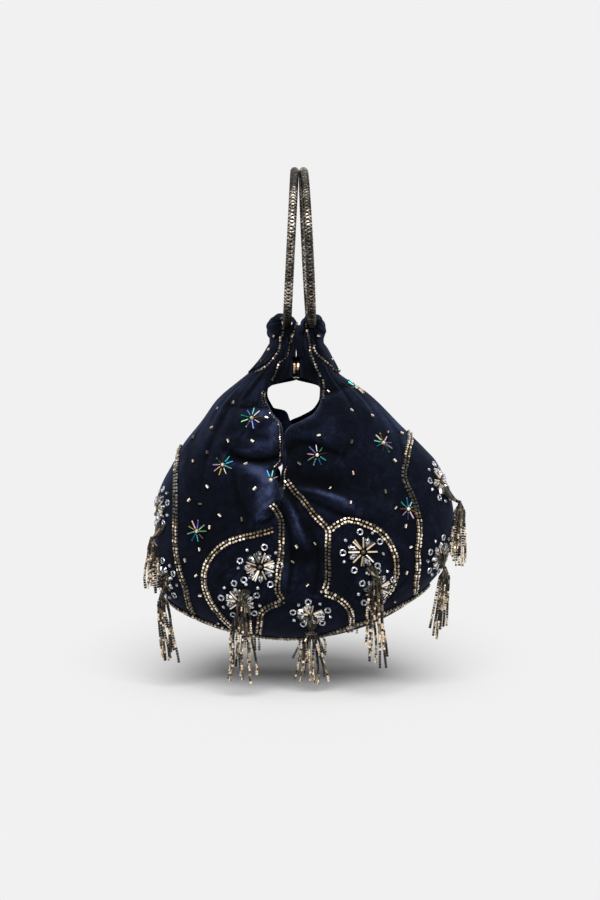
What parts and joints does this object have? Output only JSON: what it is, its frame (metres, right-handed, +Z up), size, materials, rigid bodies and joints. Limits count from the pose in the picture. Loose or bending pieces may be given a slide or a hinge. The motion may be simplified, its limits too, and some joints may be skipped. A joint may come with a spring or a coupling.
{
  "type": "potli bag",
  "caption": "Soft gathered velvet potli bag with two round bangle handles, a central magnetic snap, double bead rows, crystal flowers and swinging bead tassels.",
  "frame": {"origin": "the grip, on the centre line at the top inside of the two bangles, where a hand, arm or hook carries the bag", "axes": "+X to the right of the front, +Y from the front to the back, +Z up"},
  "size_m": [0.2254, 0.1446, 0.3621],
  "materials": {
    "navy_velvet": "deep navy silk velvet with a short pile",
    "navy_satin": "smooth navy satin lining",
    "champagne_beads": "silver-lined champagne glass tube beads, sewn close",
    "cut_crystal": "clear cut crystal petals in pale metal cups",
    "gunmetal_beads": "gunmetal and champagne glass tube beads on thread",
    "antique_gunmetal": "fine metal beads twisted round a ring, antique gunmetal",
    "pale_gold_plate": "pale gold plated"
  },
  "bodies": {
    "bag": {"front_centre_panel": "navy_velvet", "back_centre_panel": "navy_velvet", "left_velvet_half": "navy_velvet", "right_velvet_half": "navy_velvet", "left_side_panel": "navy_velvet", "right_side_panel": "navy_velvet", "base_panel": "navy_velvet", "left_handle_casing": "navy_velvet", "right_handle_casing": "navy_velvet", "left_neck_facing": "navy_velvet", "right_neck_facing": "navy_velvet", "satin_lining": "navy_satin", "left_snap_half": "pale_gold_plate", "right_snap_half": "pale_gold_plate", "left_arch_beads": "champagne_beads", "right_arch_beads": "champagne_beads", "front_left_mouth_beads": "champagne_beads", "front_right_mouth_beads": "champagne_beads", "back_left_mouth_beads": "champagne_beads", "back_right_mouth_beads": "champagne_beads", "front_left_niche_beads": "champagne_beads", "front_right_niche_beads": "champagne_beads", "back_left_niche_beads": "champagne_beads", "back_right_niche_beads": "champagne_beads", "left_hem_beads": "champagne_beads", "right_hem_beads": "champagne_beads", "base_beads": "champagne_beads", "front_upper_left_flower": "cut_crystal", "front_lower_left_flower": "cut_crystal", "front_upper_right_flower": "cut_crystal", "front_lower_right_flower": "cut_crystal", "front_centre_flower": "cut_crystal", "back_upper_left_flower": "cut_crystal", "back_lower_left_flower": "cut_crystal", "back_upper_right_flower": "cut_crystal", "back_lower_right_flower": "cut_crystal", "back_centre_flower": "cut_crystal", "side_left_upper_flower": "cut_crystal", "side_left_lower_flower": "cut_crystal", "side_right_upper_flower": "cut_crystal", "side_right_lower_flower": "cut_crystal"},
    "left_bangle": {"left_bangle": "antique_gunmetal"},
    "right_bangle": {"right_bangle": "antique_gunmetal"},
    "front_left_tassel": {"front_left_tassel": "gunmetal_beads"},
    "front_centre_tassel": {"front_centre_tassel": "gunmetal_beads"},
    "front_right_tassel": {"front_right_tassel": "gunmetal_beads"},
    "back_left_tassel": {"back_left_tassel": "gunmetal_beads"},
    "back_centre_tassel": {"back_centre_tassel": "gunmetal_beads"},
    "back_right_tassel": {"back_right_tassel": "gunmetal_beads"},
    "side_left_upper_tassel": {"side_left_upper_tassel": "gunmetal_beads"},
    "side_left_lower_tassel": {"side_left_lower_tassel": "gunmetal_beads"},
    "side_right_upper_tassel": {"side_right_upper_tassel": "gunmetal_beads"},
    "side_right_lower_tassel": {"side_right_lower_tassel": "gunmetal_beads"}
  },
  "joints": [
    {"name": "left_bangle_hinge", "type": "hinge", "parent": "bag", "child": "left_bangle", "pos_m": [-0.0085, 0, -0.10655], "axis": [0, -1, 0], "range_deg": [0, 70]},
    {"name": "right_bangle_hinge", "type": "hinge", "parent": "bag", "child": "right_bangle", "pos_m": [0.0085, 0, -0.10655], "axis": [0, 1, 0], "range_deg": [0, 70]},
    {"name": "front_left_tassel_swing", "type": "hinge", "parent": "bag", "child": "front_left_tassel", "pos_m": [-0.03853, -0.0658, -0.29027], "axis": [-0.9801, 0.1984, 0], "range_deg": [0, 60]},
    {"name": "front_centre_tassel_swing", "type": "hinge", "parent": "bag", "child": "front_centre_tassel", "pos_m": [0.00857, -0.04734, -0.31475], "axis": [-0.9967, -0.0807, 0], "range_deg": [0, 60]},
    {"name": "front_right_tassel_swing", "type": "hinge", "parent": "bag", "child": "front_right_tassel", "pos_m": [0.05195, -0.06654, -0.27476], "axis": [-0.9566, -0.2914, 0], "range_deg": [0, 60]},
    {"name": "back_left_tassel_swing", "type": "hinge", "parent": "bag", "child": "back_left_tassel", "pos_m": [-0.03853, 0.0658, -0.29027], "axis": [0.9801, 0.1984, 0], "range_deg": [0, 60]},
    {"name": "back_centre_tassel_swing", "type": "hinge", "parent": "bag", "child": "back_centre_tassel", "pos_m": [0.00857, 0.04734, -0.31475], "axis": [0.9967, -0.0807, 0], "range_deg": [0, 60]},
    {"name": "back_right_tassel_swing", "type": "hinge", "parent": "bag", "child": "back_right_tassel", "pos_m": [0.05195, 0.06654, -0.27476], "axis": [0.9566, -0.2914, 0], "range_deg": [0, 60]},
    {"name": "side_left_upper_tassel_swing", "type": "hinge", "parent": "bag", "child": "side_left_upper_tassel", "pos_m": [-0.10108, -0.03455, -0.2513], "axis": [-0.5254, 0.8509, 0], "range_deg": [0, 60]},
    {"name": "side_left_lower_tassel_swing", "type": "hinge", "parent": "bag", "child": "side_left_lower_tassel", "pos_m": [-0.09425, -0.03344, -0.28945], "axis": [-0.5485, 0.8362, 0], "range_deg": [0, 60]},
    {"name": "side_right_upper_tassel_swing", "type": "hinge", "parent": "bag", "child": "side_right_upper_tassel", "pos_m": [0.11061, -0.02927, -0.22682], "axis": [-0.4587, -0.8886, 0], "range_deg": [0, 60]},
    {"name": "side_right_lower_tassel_swing", "type": "hinge", "parent": "bag", "child": "side_right_lower_tassel", "pos_m": [0.10015, -0.03415, -0.2715], "axis": [-0.5261, -0.8504, 0], "range_deg": [0, 60]}
  ]
}
